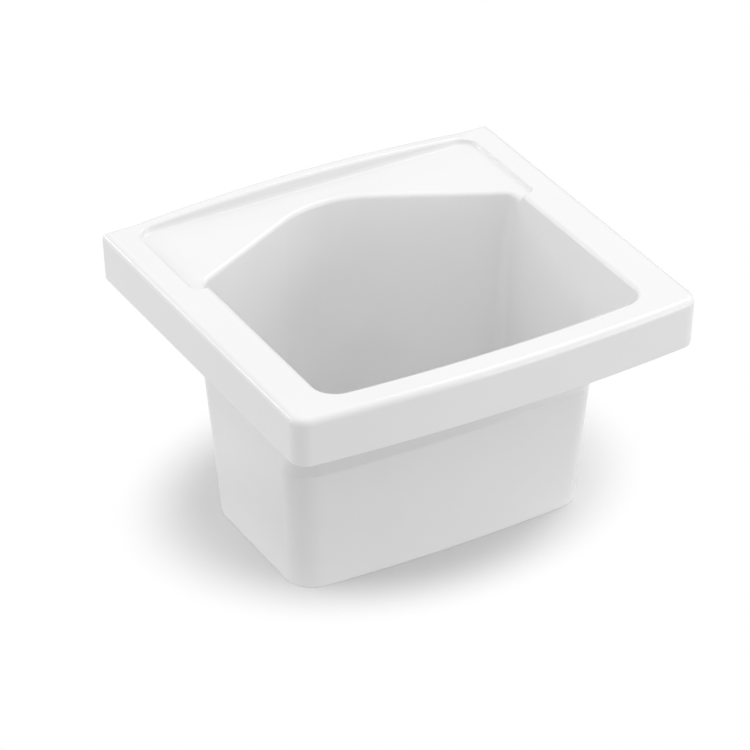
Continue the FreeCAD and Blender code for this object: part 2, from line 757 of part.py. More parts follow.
def washer(label, inner, outer, foot, height):
    """Flat ring between two radii."""
    body = waste_piece(label)
    top = f"({foot} + {height})"
    revolve(body, "ring", [(inner, foot), (outer, foot), (outer, top), (inner, top)])


washer(
    "flange_seal",
    "sizes.drain_radius + sizes.seal_margin",
    "sizes.flange_radius - sizes.seal_margin",
    "0",
    "sizes.flange_seal_height",
)
washer(
    "underside_seal",
    "sizes.drain_radius + sizes.seal_margin",
    "sizes.flange_radius - sizes.seal_margin",
    f"({CERAMIC_FOOT} - sizes.underside_seal_height)",
    "sizes.underside_seal_height",
)

pan = waste_piece("strainer_pan")
PAN_FOOT_RADIUS = "(sizes.pan_radius - sizes.pan_taper)"
PAN_INSIDE = "(sizes.pan_radius - sizes.pan_sheet)"
PAN_FLOOR_RADIUS = f"({PAN_FOOT_RADIUS} - sizes.pan_sheet)"
PAN_HOLE = "(sizes.screw_radius + sizes.screw_hole_clearance)"
FLANGE_TOP = f"({FLANGE_FOOT} + sizes.pan_sheet)"
revolve(pan, "pan_sheet", [
    (PAN_HOLE, PAN_FOOT),
    (PAN_FOOT_RADIUS, PAN_FOOT),
    ("sizes.pan_radius", FLANGE_FOOT),
    ("sizes.flange_radius", FLANGE_FOOT),
    ("sizes.flange_radius", FLANGE_TOP),
    (PAN_INSIDE, FLANGE_TOP),
    (PAN_FLOOR_RADIUS, PAN_FLOOR),
    (PAN_HOLE, PAN_FLOOR),
])
pan_outer_bends = ring_edges((PAN_FOOT_RADIUS, PAN_FOOT), (PAN_INSIDE, FLANGE_TOP))
pan_inner_bends = ring_edges((PAN_FLOOR_RADIUS, PAN_FLOOR), ("sizes.pan_radius", FLANGE_FOOT))
round_edges(pan, "outer_bends", "sizes.pan_bend + sizes.pan_sheet", pan_outer_bends)
round_edges(pan, "inner_bends", "sizes.pan_bend", pan_inner_bends)
first_pan_hole = ("sizes.pan_hole_ring", "0", "sizes.pan_hole_radius")
pan_circle = circle_outline(pan, "hole_circle", "XY_Plane", PAN_FLOOR, [first_pan_hole])
pan_hole = pocket(pan, "hole", pan_circle, "2 * sizes.pan_sheet")
ring_of(pan, "holes", pan_hole, "sizes.pan_holes")

waste = waste_piece("waste_body")
WASTE_TOP = f"({CERAMIC_FOOT} - sizes.underside_seal_height)"
CUP_OUTSIDE = "(sizes.cup_radius + sizes.cup_wall)"
CUP_FLOOR = f"({PAN_FOOT} - sizes.cup_room)"
FUNNEL_FOOT = f"({CUP_FLOOR} - sizes.funnel_drop)"
OUTLET_FOOT = f"({FUNNEL_FOOT} - sizes.outlet_length)"
revolve(waste, "shell", [
    ("sizes.cup_radius", WASTE_TOP),
    ("sizes.flange_radius", WASTE_TOP),
    ("sizes.flange_radius", f"({WASTE_TOP} - sizes.waste_flange)"),
    (CUP_OUTSIDE, f"({WASTE_TOP} - sizes.waste_flange)"),
    (CUP_OUTSIDE, f"({CUP_FLOOR} - sizes.cup_wall)"),
    ("sizes.outlet_radius", f"({FUNNEL_FOOT} - sizes.cup_wall)"),
    ("sizes.outlet_radius", OUTLET_FOOT),
    ("sizes.outlet_bore", OUTLET_FOOT),
    ("sizes.outlet_bore", FUNNEL_FOOT),
    ("sizes.cup_radius", CUP_FLOOR),
])
HUB_FOOT = f"({HUB_TOP} - sizes.insert_length - sizes.hub_floor)"
INTO_WALL = "(sizes.outlet_bore + (sizes.outlet_radius - sizes.outlet_bore) / 2)"
rib_plan = corner_outline(waste, "rib_plan", "XY_Plane", HUB_FOOT, [
    ("-sizes.rib_width / 2", "0"),
    ("sizes.rib_width / 2", "0"),
    ("sizes.rib_width / 2", INTO_WALL),
    ("-sizes.rib_width / 2", INTO_WALL),
])
rib = pad(waste, "rib", rib_plan, f"{FUNNEL_FOOT} - {HUB_FOOT}")
ring_of(waste, "ribs", rib, "sizes.hub_ribs")
hub_circle = circle_outline(waste, "hub_circle", "XY_Plane", HUB_FOOT, [("0", "0", "sizes.hub_radius")])
pad(waste, "hub", hub_circle, f"{HUB_TOP} - {HUB_FOOT}")
bore = ("0", "0", "sizes.insert_radius")
insert_circle = circle_outline(waste, "insert_circle", "XY_Plane", HUB_TOP, [bore])
pocket(waste, "insert_bore", insert_circle, "sizes.insert_length")

washer(
    "screw_insert",
    "sizes.screw_radius",
    "sizes.insert_radius",
    f"({HUB_TOP} - sizes.insert_length)",
    "sizes.insert_length",
)

screw = waste_piece("clamp_screw")
SHANK = "(sizes.screw_radius - sizes.screw_clearance)"
SOCKET = "(sizes.stem_radius + sizes.stem_clearance)"
SCREW_TIP = f"({HUB_TOP} - sizes.insert_length + sizes.screw_end_room)"
SOCKET_FOOT = f"({SCREW_TOP} - sizes.socket_depth)"
revolve(screw, "screw", [
    ("0", SCREW_TIP),
    (SHANK, SCREW_TIP),
    (SHANK, PAN_FLOOR),
    ("sizes.screw_head_radius", PAN_FLOOR),
    ("sizes.screw_head_radius", SCREW_TOP),
    (SOCKET, SCREW_TOP),
    (SOCKET, SOCKET_FOOT),
    ("0", SOCKET_FOOT),
])

# Basket: the piece that lifts out, with all that is fixed to it
basket = waste_piece("basket")
STEM_HOLE = "(sizes.stem_radius + sizes.stem_bond)"
BASKET_FLOOR = f"({BASKET_FOOT} + sizes.basket_sheet)"
BASKET_RIM = "(sizes.basket_top + sizes.basket_sheet)"
INNER_FOOT = "(sizes.basket_foot_radius - sizes.basket_sheet)"
revolve(basket, "basket_sheet", [
    (STEM_HOLE, BASKET_FOOT),
    ("sizes.basket_foot_radius", BASKET_FOOT),
    ("sizes.basket_radius", "sizes.basket_top"),
    ("sizes.basket_radius + sizes.basket_rim", "sizes.basket_top"),
    ("sizes.basket_radius + sizes.basket_rim", BASKET_RIM),
    ("sizes.basket_radius - sizes.basket_sheet", BASKET_RIM),
    (INNER_FOOT, BASKET_FLOOR),
    (STEM_HOLE, BASKET_FLOOR),
])
basket_outer_bend = ring_edges(("sizes.basket_foot_radius", BASKET_FOOT))
round_edges(basket, "outer_bend", "sizes.basket_bend + sizes.basket_sheet", basket_outer_bend)
round_edges(basket, "inner_bend", "sizes.basket_bend", ring_edges((INNER_FOOT, BASKET_FLOOR)))
first_hole = ("sizes.basket_hole_ring", "0", "sizes.basket_hole_radius")
floor_circle = circle_outline(basket, "floor_circle", "XY_Plane", BASKET_FLOOR, [first_hole])
floor_hole = pocket(basket, "floor_hole", floor_circle, "2 * sizes.basket_sheet")
ring_of(basket, "floor_holes", floor_hole, "sizes.basket_holes")
SLOT_FOOT = f"({BASKET_FLOOR} + sizes.basket_bend + sizes.basket_slot_margin)"
SLOT_TOP = "(sizes.basket_top - sizes.basket_slot_margin)"
slot_outline = corner_outline(basket, "slot_outline", "XZ_Plane", "0", [
    ("-sizes.basket_slot_width / 2", SLOT_FOOT),
    ("sizes.basket_slot_width / 2", SLOT_FOOT),
    ("sizes.basket_slot_width / 2", SLOT_TOP),
    ("-sizes.basket_slot_width / 2", SLOT_TOP),
])
slot = pocket(basket, "slot", slot_outline)
ring_of(basket, "slots", slot, "sizes.basket_slots")

washer(
    "basket_seal",
    "sizes.basket_seal_bore",
    "sizes.basket_seal_radius",
    SEAL_FOOT,
    "sizes.basket_seal_height",
)

stem = waste_piece("basket_stem")
COLLAR_TOP = f"({BASKET_FLOOR} + sizes.stem_collar)"
STEM_TOP = "(sizes.knob_level + sizes.knob_neck + sizes.knob_flare)"
GROOVE_FOOT = f"({STEM_TIP} + sizes.ring_from_tip)"
GROOVE_TOP = f"({GROOVE_FOOT} + sizes.ring_section + sizes.seat_gap)"
GROOVE_RADIUS = "(sizes.stem_radius - sizes.ring_groove)"
revolve(stem, "pin", [
    ("0", STEM_TIP),
    ("sizes.stem_radius", STEM_TIP),
    ("sizes.stem_radius", GROOVE_FOOT),
    (GROOVE_RADIUS, GROOVE_FOOT),
    (GROOVE_RADIUS, GROOVE_TOP),
    ("sizes.stem_radius", GROOVE_TOP),
    ("sizes.stem_radius", BASKET_FLOOR),
    ("sizes.stem_collar_radius", BASKET_FLOOR),
    ("sizes.stem_collar_radius", COLLAR_TOP),
    ("sizes.stem_radius", COLLAR_TOP),
    ("sizes.stem_radius", STEM_TOP),
    ("0", STEM_TOP),
])

washer(
    "stem_ring",
    GROOVE_RADIUS,
    f"({GROOVE_RADIUS} + sizes.ring_section)",
    f"({GROOVE_FOOT} + sizes.seat_gap / 2)",
    "sizes.ring_section",
)

knob = waste_piece("basket_knob")
NECK_TOP = "(sizes.knob_level + sizes.knob_neck)"
KNOB_TOP = f"({KNOB_CAP} + sizes.knob_top)"
revolve(knob, "knob", [
    (STEM_HOLE, "sizes.knob_level"),
    ("sizes.knob_neck_radius", "sizes.knob_level"),
    ("sizes.knob_neck_radius", NECK_TOP),
    ("sizes.knob_radius", f"({NECK_TOP} + sizes.knob_flare)"),
    ("sizes.knob_radius", KNOB_CAP),
    ("sizes.knob_radius - sizes.knob_bevel", KNOB_TOP),
    ("0", KNOB_TOP),
    ("0", STEM_TOP),
    (STEM_HOLE, STEM_TOP),
])

doc.recompute()
pieces = [item for item in doc.Objects if item.TypeId == "PartDesign::Body"]
for item in doc.Objects:
    if "Invalid" in item.State or "Error" in item.State:
        raise RuntimeError(f"{item.Name} is {item.State}")
for piece in pieces:
    if piece.Shape.isNull() or not piece.Shape.isValid():
        raise RuntimeError(f"{piece.Label} has no valid shape")

os.makedirs("parts", exist_ok=True)
for piece in pieces:
    piece.Shape.exportStep(f"parts/{piece.Label}.step")
    box = piece.Shape.optimalBoundingBox(False, False)
    print(f"{piece.Label}: {box.XLength:.1f} x {box.YLength:.1f} x {box.ZLength:.1f} mm")
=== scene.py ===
"""Looks of the laundry sink: white glaze, satin strainer, rubber seals, on a floor with painted shade by the
foot that glows white away from it.
"""
import math

import bmesh
import bpy
import numpy as np
from mathutils import Euler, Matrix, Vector


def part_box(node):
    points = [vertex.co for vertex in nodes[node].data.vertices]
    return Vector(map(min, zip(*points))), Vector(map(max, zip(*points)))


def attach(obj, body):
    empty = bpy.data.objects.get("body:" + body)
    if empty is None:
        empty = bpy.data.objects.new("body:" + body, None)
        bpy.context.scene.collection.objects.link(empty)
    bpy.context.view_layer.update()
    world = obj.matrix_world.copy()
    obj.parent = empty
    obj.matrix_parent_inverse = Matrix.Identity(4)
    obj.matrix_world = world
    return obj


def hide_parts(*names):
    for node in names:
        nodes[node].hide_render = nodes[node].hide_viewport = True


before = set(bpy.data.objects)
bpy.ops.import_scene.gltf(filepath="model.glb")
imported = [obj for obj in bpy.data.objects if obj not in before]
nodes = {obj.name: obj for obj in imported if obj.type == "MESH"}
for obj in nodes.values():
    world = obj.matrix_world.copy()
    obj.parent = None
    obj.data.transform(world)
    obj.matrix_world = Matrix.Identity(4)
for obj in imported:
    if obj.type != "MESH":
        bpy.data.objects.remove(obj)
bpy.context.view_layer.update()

# Camera at the photograph's viewing angle, metres and degrees
CAMERA_AZIMUTH = -29.829
CAMERA_ELEVATION = 32.552
CAMERA_ROLL = -0.098
CAMERA_PLACE = (-2.2871, -3.9221, 3.1024)
CAMERA_LENS = 193.73
CAMERA_SENSOR = 36.0
CAMERA_CLIP = (0.1, 100.0)

# Softboxes: where each hangs, what it looks at, its width and depth in metres, and its power in watts
SOFTBOXES = {
    "overhead": ((-0.7, -0.5, 3.2), (0, 0, 0.3), (2.0, 2.0), 7.5),
    "right_high": ((1.86, 0.36, 2.6), (0, 0, 0.3), (1.4, 2.0), 18.0),
    "left_rear": ((-2.55, 1.19, 1.33), (0, 0, 0.3), (2.0, 1.2), 10.3),
    "rear_strip": ((-1.9, 2.3, 1.0), (0, 0, 0.37), (1.0, 0.25), 6.0),
    "right_front": ((1.91, -2.28, 0.72), (0, 0, 0.3), (2.0, 1.2), 17.5),
}
# Sky: strengths at the horizon and overhead, the share that it loses low down in one corner of the room,
# the way to that corner, and the cosine to that way at which the loss starts
SKY_HORIZON = 0.735
SKY_TOP = 1.28
SKY_DIM = 0.7
SKY_DIM_WAY = (0.67, 0.742, 0.0)
SKY_DIM_FROM = 0.8
# Floor: its tone as it is seen by the foot, a painted shade, the shares of the foot's oval over which it
# turns to a painted white glow, the tones with which it throws light back by the foot and away from it, the
# brighter one by the foot painted bounce light, the shares over which these change, the oval's middle and
# half sizes, and half the floor's width, metres
FLOOR_PAINTED_SHADE = 0.77
FLOOR_GLOW_SPAN = (1.1, 1.75)
FLOOR_PAINTED_BOUNCE = (0.9, 0.5)
FLOOR_BOUNCE_FADE = (1.2, 2.0)
FOOT_MIDDLE = (0.0, 0.047, 0.0)
FOOT_HALF = (0.222, 0.176, 1.0)
FLOOR_HALF = 8.0

# Drain's axis, metres behind the middle
DRAIN_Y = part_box("strainer_pan")[0][1] / 2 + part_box("strainer_pan")[1][1] / 2
# Back face of the rim, from which the ceramic's plans are measured
BACK_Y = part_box("sink_basin")[1][1]
# Points nearer than this are one point, metres, and edges sharper than this stay sharp, degrees
JOIN = 2e-6
SHARP_ANGLE = 25.0
# Weight of the faces' areas in the shading, and the fewest corners of a face that is cut into triangles
AREA_WEIGHT = 100
PLATE_CORNERS = 5
# Glaze: its colours, its roughness, and the scale and height of its waves and its grain. The foot keeps a dry
# ring of bare ware with a ragged edge. Linear colours, scales per metre, other lengths in metres
GLAZE_WHITE = (0.835, 0.835, 0.835)
GLAZE_DEEP = (0.825, 0.825, 0.824)
GLAZE_ROUGH = (0.09, 0.13)
GLAZE_INDEX = 1.52
CLOUDS = (7.0, 6e-5)
WAVES = (28.0, 1.2e-5)
GRAIN = (420.0, 4e-7)
BARE_WARE = (0.74, 0.72, 0.68)
BARE_ROUGH = 0.75
FOOT_BARE = 0.0016
FOOT_RAGGED = 0.0006
# Noise of the clouds, with the range of it that is stretched to 0 and 1, and noise of the turned rings
MOTTLE_NOISE = {"Detail": 4.0, "Roughness": 0.55}
MOTTLE_RANGE = (0.3, 0.7)
RING_NOISE = {"Detail": 2.0, "Roughness": 0.6}
# Turned metals: the material, its rings and its haze per metre, its two tints, its roughness and its relief
METALS = {
    "stainless": (
        "satin_steel", 2600.0, 55.0, (0.64, 0.635, 0.625), (0.57, 0.57, 0.565), (0.2, 0.36), 2.5e-6,
    ),
    "brass": ("turned_brass", 1800.0, 90.0, (0.72, 0.56, 0.27), (0.56, 0.41, 0.18), (0.24, 0.42), 4e-6),
}
# Moulded stuffs: the material, its clouds per metre, its two tints, its roughness and its relief
MOULDINGS = {
    "rubber": ("seal_rubber", 60.0, (0.022, 0.022, 0.023), (0.036, 0.035, 0.034), (0.5, 0.7), 1e-5),
    "waste_plastic": ("waste_plastic", 45.0, (0.7, 0.7, 0.69), (0.66, 0.66, 0.65), (0.35, 0.5), 8e-6),
    "knob_plastic": ("knob_plastic", 70.0, (0.03, 0.03, 0.032), (0.04, 0.04, 0.042), (0.22, 0.34), 5e-6),
}
# A moulding's grain is this many times finer than its clouds
GRAIN_FINER = 22
# Mix nodes: places of the first and second input and of the output, for colours and for numbers
COLOUR_FIRST, COLOUR_SECOND, COLOUR_OUT = 6, 7, 2
NUMBER_FIRST, NUMBER_SECOND, NUMBER_OUT = 2, 3, 0

# Rim and its apron, metres and radians, measured from the back face and from the surface below
RIM_LEVEL = 0.3727
RIM_HALF = 0.3004
RIM_DEPTH = 0.5532
RIM_BOW = 2.85
RIM_CORNER = 0.025
RIM_EDGE = 0.010
BACK_CORNER = 0.005
APRON_FOOT = 0.3007
APRON_LEAN = math.radians(2.4)
APRON_WALL = 0.011
APRON_EDGE = 0.002
PLATE_FOOT = 0.3567
HOLLOW_CORNER = 0.0195
# Raised back edge: half its span, its rise and the blend at either end
ARCH_HALF = 0.260
ARCH_RISE = 0.012
ARCH_BLEND = 0.100
# Sunk ledge: its front corner starts at a small turn, just beyond the lip, and its step is rounded at the
# head and the foot
LEDGE_LEVEL = 0.3650
LEDGE_HALF = 0.260
LEDGE_BACK = 0.021
LEDGE_BACK_ROUND = 0.024
LEDGE_FRONT_ROUND = 0.015
LEDGE_FRONT_START = math.radians(6.0)
LEDGE_RUN = 0.010
STEP_HEAD = 0.004
STEP_FOOT = 0.006
# Basin
OPENING_HALF = 0.239
OPENING_FRONT = 0.5136
OPENING_APEX = 0.0471
LIP = 0.0072
DIAGONAL = math.radians(27.3)
APEX_ROUND = 0.148
SIDE_ROUND = 0.022
FRONT_ROUND = 0.032
BASIN_BOW = 2.6
SIDE_LEAN = math.tan(math.radians(4.0))
BACK_LEAN = math.tan(math.radians(2.3)) / math.cos(DIAGONAL)
SLOPE = math.radians(31.0)
STEEP = math.radians(3.55)
SLOPE_FOOT = 0.1927
SLOPE_ROUND = 0.030
FLOOR_LEVEL = 0.0505
FLOOR_ROUND = 0.016
# Body below the rim: the rounding of the bend in its front, how far that lies below the meeting of the
# planes, its walls, its skirt and the drain, whose pairs are a radius and a level
BODY_ROUND = 0.010
BODY_BEND_LOW = 0.0045
SIDE_WALL = 0.009
BACK_WALL = 0.025
FRONT_WALL = 0.012
SKIRT_WALL = 0.013
SKIRT_ROOF = 0.035
BODY_BACK_LEAN = math.tan(math.radians(4.6)) / math.cos(DIAGONAL)
FOOT_EDGE = 0.001
DRAIN_FROM_BACK = 0.232
DISH = (0.122, 0.0505)
SEAT_EDGE = (0.0585, 0.048)
SEAT = (0.0585, 0.0445)
SEAT_HOLE = (0.045, 0.0445)
HOLE_FOOT = (0.045, 0.035)

# Levels of points between the lip, the bends and the floor, metres, and how far they keep from a bend
WALL_HEAD = 0.355
WALL_FOOT = FLOOR_LEVEL + 0.025
BODY_FOOT = 0.012
BEND_CLEAR = 0.01
APRON_DEPTHS = (0.02, 0.04, 0.06)
# Height over which a wall's lean is measured at the floor, metres
LEAN_RISE = 0.01

QUARTER = math.pi / 2
# Points on the round edges
ARC_STEPS = 7
LIP_STEPS = 9
EDGE_STEPS = 11
BEND_STEPS = 6
# Points on the stretches of the plans: the bowed front and its corner, then the basin, the rim and the ledge
BOW_STEPS = 36
CORNER_STEPS = 14
SIDE_FORE_STEPS = 9
SIDE_REAR_STEPS = 4
SIDE_ROUND_STEPS = 12
DIAGONAL_STEPS = 9
APEX_STEPS = 20
RIM_SIDE_STEPS = 12
RIM_BACK_STEPS = 8
RIM_GAP_STEPS = 4
LEDGE_FRONT_STEPS = 12
LEDGE_SIDE_STEPS = 12
LEDGE_ROUND_STEPS = 14
LEDGE_LINE_STEPS = 48
# Levels of points before and after the bend, down the inside and up the outside
WALL_STEPS = (6, 5)
BODY_STEPS = (4, 5)

# Each solid: the piece that shows it, the body that carries it and its finish
PIECES = {
    "sink_basin": ("glazed_basin", "sink", "ceramic"),
    "strainer_pan": ("drain_pan", "sink", "stainless"),
    "flange_seal": ("upper_seal", "sink", "rubber"),
    "underside_seal": ("lower_seal", "sink", "rubber"),
    "waste_body": ("waste_cup", "sink", "waste_plastic"),
    "screw_insert": ("threaded_insert", "sink", "brass"),
    "clamp_screw": ("socket_screw", "sink", "stainless"),
    "basket": ("strainer_basket", "basket", "stainless"),
    "basket_seal": ("basket_disc", "basket", "rubber"),
    "basket_stem": ("basket_pin", "basket", "stainless"),
    "stem_ring": ("grip_ring", "basket", "rubber"),
    "basket_knob": ("lifting_knob", "basket", "knob_plastic"),
}

scene = bpy.context.scene


def aim_camera():
    camera = bpy.data.objects.new("camera", bpy.data.cameras.new("camera"))
    scene.collection.objects.link(camera)
    a, e = math.radians(CAMERA_AZIMUTH), math.radians(CAMERA_ELEVATION)
    back = Vector((math.sin(a) * math.cos(e), -math.cos(a) * math.cos(e), math.sin(e)))
    upright = (-back).to_track_quat("-Z", "Y")
    roll = Euler((0, 0, math.radians(CAMERA_ROLL))).to_quaternion()
    camera.rotation_mode = "QUATERNION"
    camera.rotation_quaternion = upright @ roll
    camera.location = CAMERA_PLACE
    camera.data.lens = CAMERA_LENS
    camera.data.sensor_width = CAMERA_SENSOR
    camera.data.clip_start, camera.data.clip_end = CAMERA_CLIP
    scene.camera = camera


def add_node(tree, kind, **settings):
    node = tree.nodes.new(kind)
    for name, content in settings.items():
        if name in node.inputs:
            node.inputs[name].default_value = content
        else:
            setattr(node, name, content)
    return node


def new_material(name):
    material = bpy.data.materials.new(name)
    material.use_nodes = True
    tree = material.node_tree
    tree.nodes.clear()
    output = tree.nodes.new("ShaderNodeOutputMaterial")
    shader = tree.nodes.new("ShaderNodeBsdfPrincipled")
    tree.links.new(shader.outputs["BSDF"], output.inputs["Surface"])
    return material, tree, shader


def new_group(name, sockets):
    """Empty node group of number sockets, each a name and the side that it is on."""
    group = bpy.data.node_groups.new(name, "ShaderNodeTree")
    for label, side in sockets:
        group.interface.new_socket(name=label, in_out=side, socket_type="NodeSocketFloat")
    return group, group.nodes.new("NodeGroupInput"), group.nodes.new("NodeGroupOutput")


def smooth_mask(tree, number, first, last):
    """Smooth step from 0 at the first to 1 at the last."""
    step = add_node(tree, "ShaderNodeMapRange", interpolation_type="SMOOTHSTEP")
    tree.links.new(number, step.inputs["Value"])
    step.inputs["From Min"].default_value = first
    step.inputs["From Max"].default_value = last
    return step.outputs["Result"]


def mottle_group():
    """Cloudy mask on Object coordinates: fractal noise at a scale, stretched over the whole range 0 to 1."""
    group, inlet, outlet = new_group("cloudy_mottle", [("Scale", "INPUT"), ("Mask", "OUTPUT")])
    place = group.nodes.new("ShaderNodeTexCoord")
    noise = add_node(group, "ShaderNodeTexNoise", **MOTTLE_NOISE)
    group.links.new(place.outputs["Object"], noise.inputs["Vector"])
    group.links.new(inlet.outputs["Scale"], noise.inputs["Scale"])
    group.links.new(smooth_mask(group, noise.outputs["Fac"], *MOTTLE_RANGE), outlet.inputs["Mask"])
    return group


def turned_group():
    """Fine rings round the drain's axis: noise read along the distance from the axis and the height alone."""
    group, inlet, outlet = new_group("turned_rings", [("Rings per metre", "INPUT"), ("Mask", "OUTPUT")])
    place = group.nodes.new("ShaderNodeTexCoord")
    centre = add_node(group, "ShaderNodeVectorMath", operation="SUBTRACT")
    centre.inputs[1].default_value = (0, DRAIN_Y, 0)
    flat = add_node(group, "ShaderNodeVectorMath", operation="MULTIPLY")
    flat.inputs[1].default_value = (1, 1, 0)
    reach = add_node(group, "ShaderNodeVectorMath", operation="LENGTH")
    height = group.nodes.new("ShaderNodeSeparateXYZ")
    along = group.nodes.new("ShaderNodeCombineXYZ")
    noise = add_node(group, "ShaderNodeTexNoise", noise_dimensions="2D", **RING_NOISE)
    group.links.new(place.outputs["Object"], centre.inputs[0])
    group.links.new(centre.outputs["Vector"], flat.inputs[0])
    group.links.new(flat.outputs["Vector"], reach.inputs[0])
    group.links.new(place.outputs["Object"], height.inputs["Vector"])
    group.links.new(reach.outputs["Value"], along.inputs["X"])
    group.links.new(height.outputs["Z"], along.inputs["Y"])
    group.links.new(along.outputs["Vector"], noise.inputs["Vector"])
    group.links.new(inlet.outputs["Rings per metre"], noise.inputs["Scale"])
    group.links.new(noise.outputs["Fac"], outlet.inputs["Mask"])
    return group


def mask_from(tree, group, **inputs):
    node = tree.nodes.new("ShaderNodeGroup")
    node.node_tree = group
    for name, content in inputs.items():
        node.inputs[name.replace("_", " ")].default_value = content
    return node.outputs["Mask"]


def spread_to(tree, mask, low, high, socket):
    """Feeds a mask to a number socket, from low where it is 0 to high where it is 1."""
    spread = tree.nodes.new("ShaderNodeMapRange")
    tree.links.new(mask, spread.inputs["Value"])
    spread.inputs["To Min"].default_value = low
    spread.inputs["To Max"].default_value = high
    tree.links.new(spread.outputs["Result"], socket)


def tint_by(tree, mask, first, second):
    """Colour that goes from first to second with a mask."""
    tint = add_node(tree, "ShaderNodeMix", data_type="RGBA")
    tree.links.new(mask, tint.inputs["Factor"])
    tint.inputs[COLOUR_FIRST].default_value = (*first, 1)
    tint.inputs[COLOUR_SECOND].default_value = (*second, 1)
    return tint.outputs[COLOUR_OUT]


def raise_by(tree, shader, masks):
    """Bumps stacked on the shader's normal, each a mask with its height in metres."""
    below = None
    for mask, height in masks:
        bump = add_node(tree, "ShaderNodeBump", Strength=1.0, Distance=height)
        tree.links.new(mask, bump.inputs["Height"])
        if below:
            tree.links.new(below, bump.inputs["Normal"])
        below = bump.outputs["Normal"]
    tree.links.new(below, shader.inputs["Normal"])


def glaze(mottle):
    """White glaze: wavy on two scales, finely grained, and left off the foot, which shows the bare ware."""
    material, tree, shader = new_material("white_glaze")
    clouds, waves, grain = (mask_from(tree, mottle, Scale=scale) for scale, _ in (CLOUDS, WAVES, GRAIN))
    place = tree.nodes.new("ShaderNodeTexCoord")
    height = tree.nodes.new("ShaderNodeSeparateXYZ")
    tree.links.new(place.outputs["Object"], height.inputs["Vector"])
    ragged = add_node(tree, "ShaderNodeMath", operation="MULTIPLY_ADD")
    tree.links.new(grain, ragged.inputs[0])
    ragged.inputs[1].default_value = FOOT_RAGGED
    tree.links.new(height.outputs["Z"], ragged.inputs[2])
    bare = smooth_mask(tree, ragged.outputs[0], FOOT_BARE, FOOT_BARE - FOOT_RAGGED)
    white = tint_by(tree, clouds, GLAZE_WHITE, GLAZE_DEEP)
    coat = add_node(tree, "ShaderNodeMix", data_type="RGBA")
    tree.links.new(bare, coat.inputs["Factor"])
    tree.links.new(white, coat.inputs[COLOUR_FIRST])
    coat.inputs[COLOUR_SECOND].default_value = (*BARE_WARE, 1)
    tree.links.new(coat.outputs[COLOUR_OUT], shader.inputs["Base Color"])
    dry = add_node(tree, "ShaderNodeMix", data_type="FLOAT")
    tree.links.new(bare, dry.inputs["Factor"])
    spread_to(tree, clouds, *GLAZE_ROUGH, dry.inputs[NUMBER_FIRST])
    dry.inputs[NUMBER_SECOND].default_value = BARE_ROUGH
    tree.links.new(dry.outputs[NUMBER_OUT], shader.inputs["Roughness"])
    raise_by(tree, shader, [(clouds, CLOUDS[1]), (waves, WAVES[1]), (grain, GRAIN[1])])
    shader.inputs["IOR"].default_value = GLAZE_INDEX
    return material


def turned_metal(turned, mottle, name, rings_scale, haze_scale, first, second, rough, height):
    """Metal finished on a lathe: rings in its gloss and its surface, and a slight haze in its colour."""
    material, tree, shader = new_material(name)
    rings = mask_from(tree, turned, Rings_per_metre=rings_scale)
    haze = mask_from(tree, mottle, Scale=haze_scale)
    tree.links.new(tint_by(tree, haze, first, second), shader.inputs["Base Color"])
    shader.inputs["Metallic"].default_value = 1.0
    spread_to(tree, rings, *rough, shader.inputs["Roughness"])
    raise_by(tree, shader, [(rings, height)])
    return material


def moulded(mottle, name, scale, first, second, rough, height):
    """Moulded rubber or plastic: cloudy colour, and the fine grain of its mould in its gloss and surface."""
    material, tree, shader = new_material(name)
    clouds = mask_from(tree, mottle, Scale=scale)
    grain = mask_from(tree, mottle, Scale=scale * GRAIN_FINER)
    tree.links.new(tint_by(tree, clouds, first, second), shader.inputs["Base Color"])
    spread_to(tree, grain, *rough, shader.inputs["Roughness"])
    raise_by(tree, shader, [(grain, height)])
    return material


def shares(count):
    """Even steps from 0 up to, and without, 1."""
    return np.arange(count) / count


def column(*numbers):
    return np.array(numbers, float)[:, None]


def arc(x, y, radius, first, last, share):
    """Points of an arc about x, y at shares of the way from the first to the last angle."""
    angle = first + (last - first) * share
    points = np.broadcast_arrays(x + radius * np.cos(angle), y + radius * np.sin(angle), angle)
    return np.stack(points, axis=-1)


def run(x, y, angle):
    """Points of a straight stretch whose outward normal has one angle."""
    return np.stack(np.broadcast_arrays(x, y, angle), axis=-1).astype(float)


def bowed_front(half, front, bow, corner):
    """Right half of a bowed front and its round corner, and the level where the side starts."""
    bow_y = bow - front
    corner_x = half - corner
    corner_y = bow_y - np.sqrt((bow - corner) ** 2 - corner_x**2)
    lean = np.arctan2(corner_y - bow_y, corner_x)
    middle = arc(0 * half, bow_y, bow, -QUARTER, lean, shares(BOW_STEPS))
    bend = arc(corner_x, corner_y, corner, lean, 0, shares(CORNER_STEPS))
    return [middle, bend], corner_y


def step_profile(top):
    """Step of the ledge, from its head to its foot, as pairs of distance outwards and height.

    Two arcs that each turn by t, with cos t = max(0, 1 - h / (r + q)) for a step h high, a head of radius r
    and a foot of radius q. Head: out = r (sin t - sin a), up = top - r (1 - cos a). Foot: the same turned
    over, down to the ledge. A step higher than r + q has an upright wall between them.
    """
    turn = np.arccos(np.maximum(1 - (top - LEDGE_LEVEL) / (STEP_HEAD + STEP_FOOT), 0))
    a = turn * np.linspace(0, 1, ARC_STEPS)
    head = [STEP_HEAD * (np.sin(turn) - np.sin(a)), top - STEP_HEAD * (1 - np.cos(a))]
    a = a[..., ::-1]
    foot = [STEP_FOOT * (np.sin(a) - np.sin(turn)), LEDGE_LEVEL + STEP_FOOT * (1 - np.cos(a))]
    return np.concatenate([np.stack(head, axis=-1), np.stack(foot, axis=-1)], axis=-2)


STEP = step_profile(np.array([[RIM_LEVEL]]))[0]


def side_round_level(half, apex, side_round):
    return -(apex + (half - side_round) * np.tan(DIAGONAL) + side_round / np.cos(DIAGONAL))


LEDGE_FRONT = LEDGE_RUN - side_round_level(OPENING_HALF, OPENING_APEX, SIDE_ROUND)


